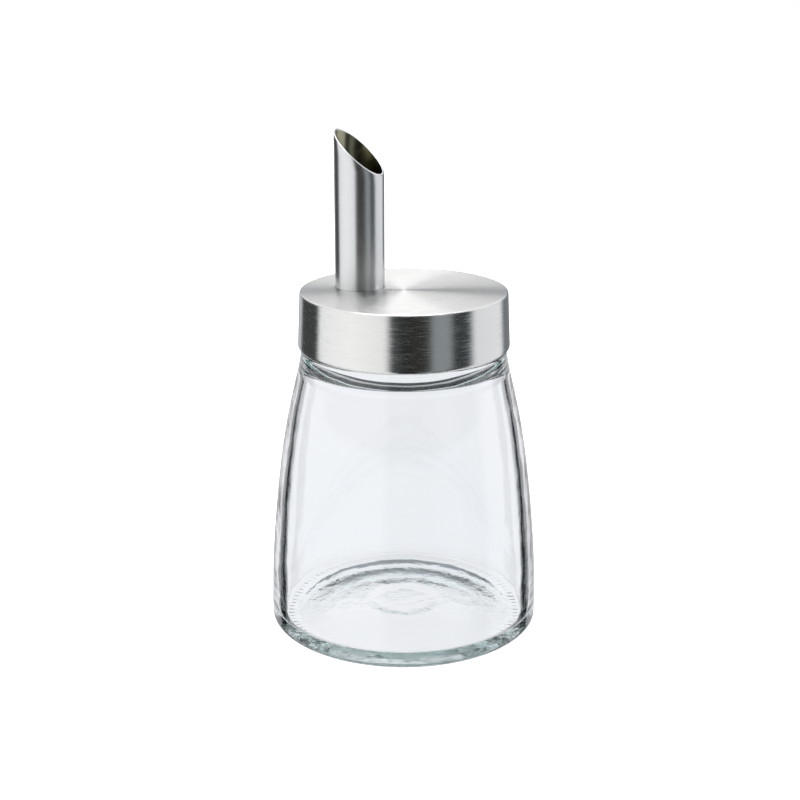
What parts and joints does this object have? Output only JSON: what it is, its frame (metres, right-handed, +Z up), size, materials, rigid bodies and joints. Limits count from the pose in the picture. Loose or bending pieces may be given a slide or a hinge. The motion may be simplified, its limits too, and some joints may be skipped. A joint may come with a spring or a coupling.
{
  "type": "milk creamer",
  "caption": "Small tapered glass jar with a heavy foot, a brushed steel screw cap and an off-centre steel pouring tube with a slanted cut; shown empty.",
  "frame": {"origin": "centre of the jar's foot, on the surface it stands on", "axes": "+Z up along the jar's axis; the spout stands toward -X of it, its high tip outward; the part is a mirror image of itself across the XZ plane"},
  "size_m": [0.0702, 0.0702, 0.1295],
  "materials": {
    "clear_glass": "clear pressed glass, polished",
    "cap_steel": "circular satin brushing",
    "spout_steel": "fine satin grinding round the tube"
  },
  "bodies": {
    "root": {"glass_jar": "clear_glass", "screw_cap": "cap_steel", "pouring_spout": "spout_steel"}
  },
  "joints": []
}
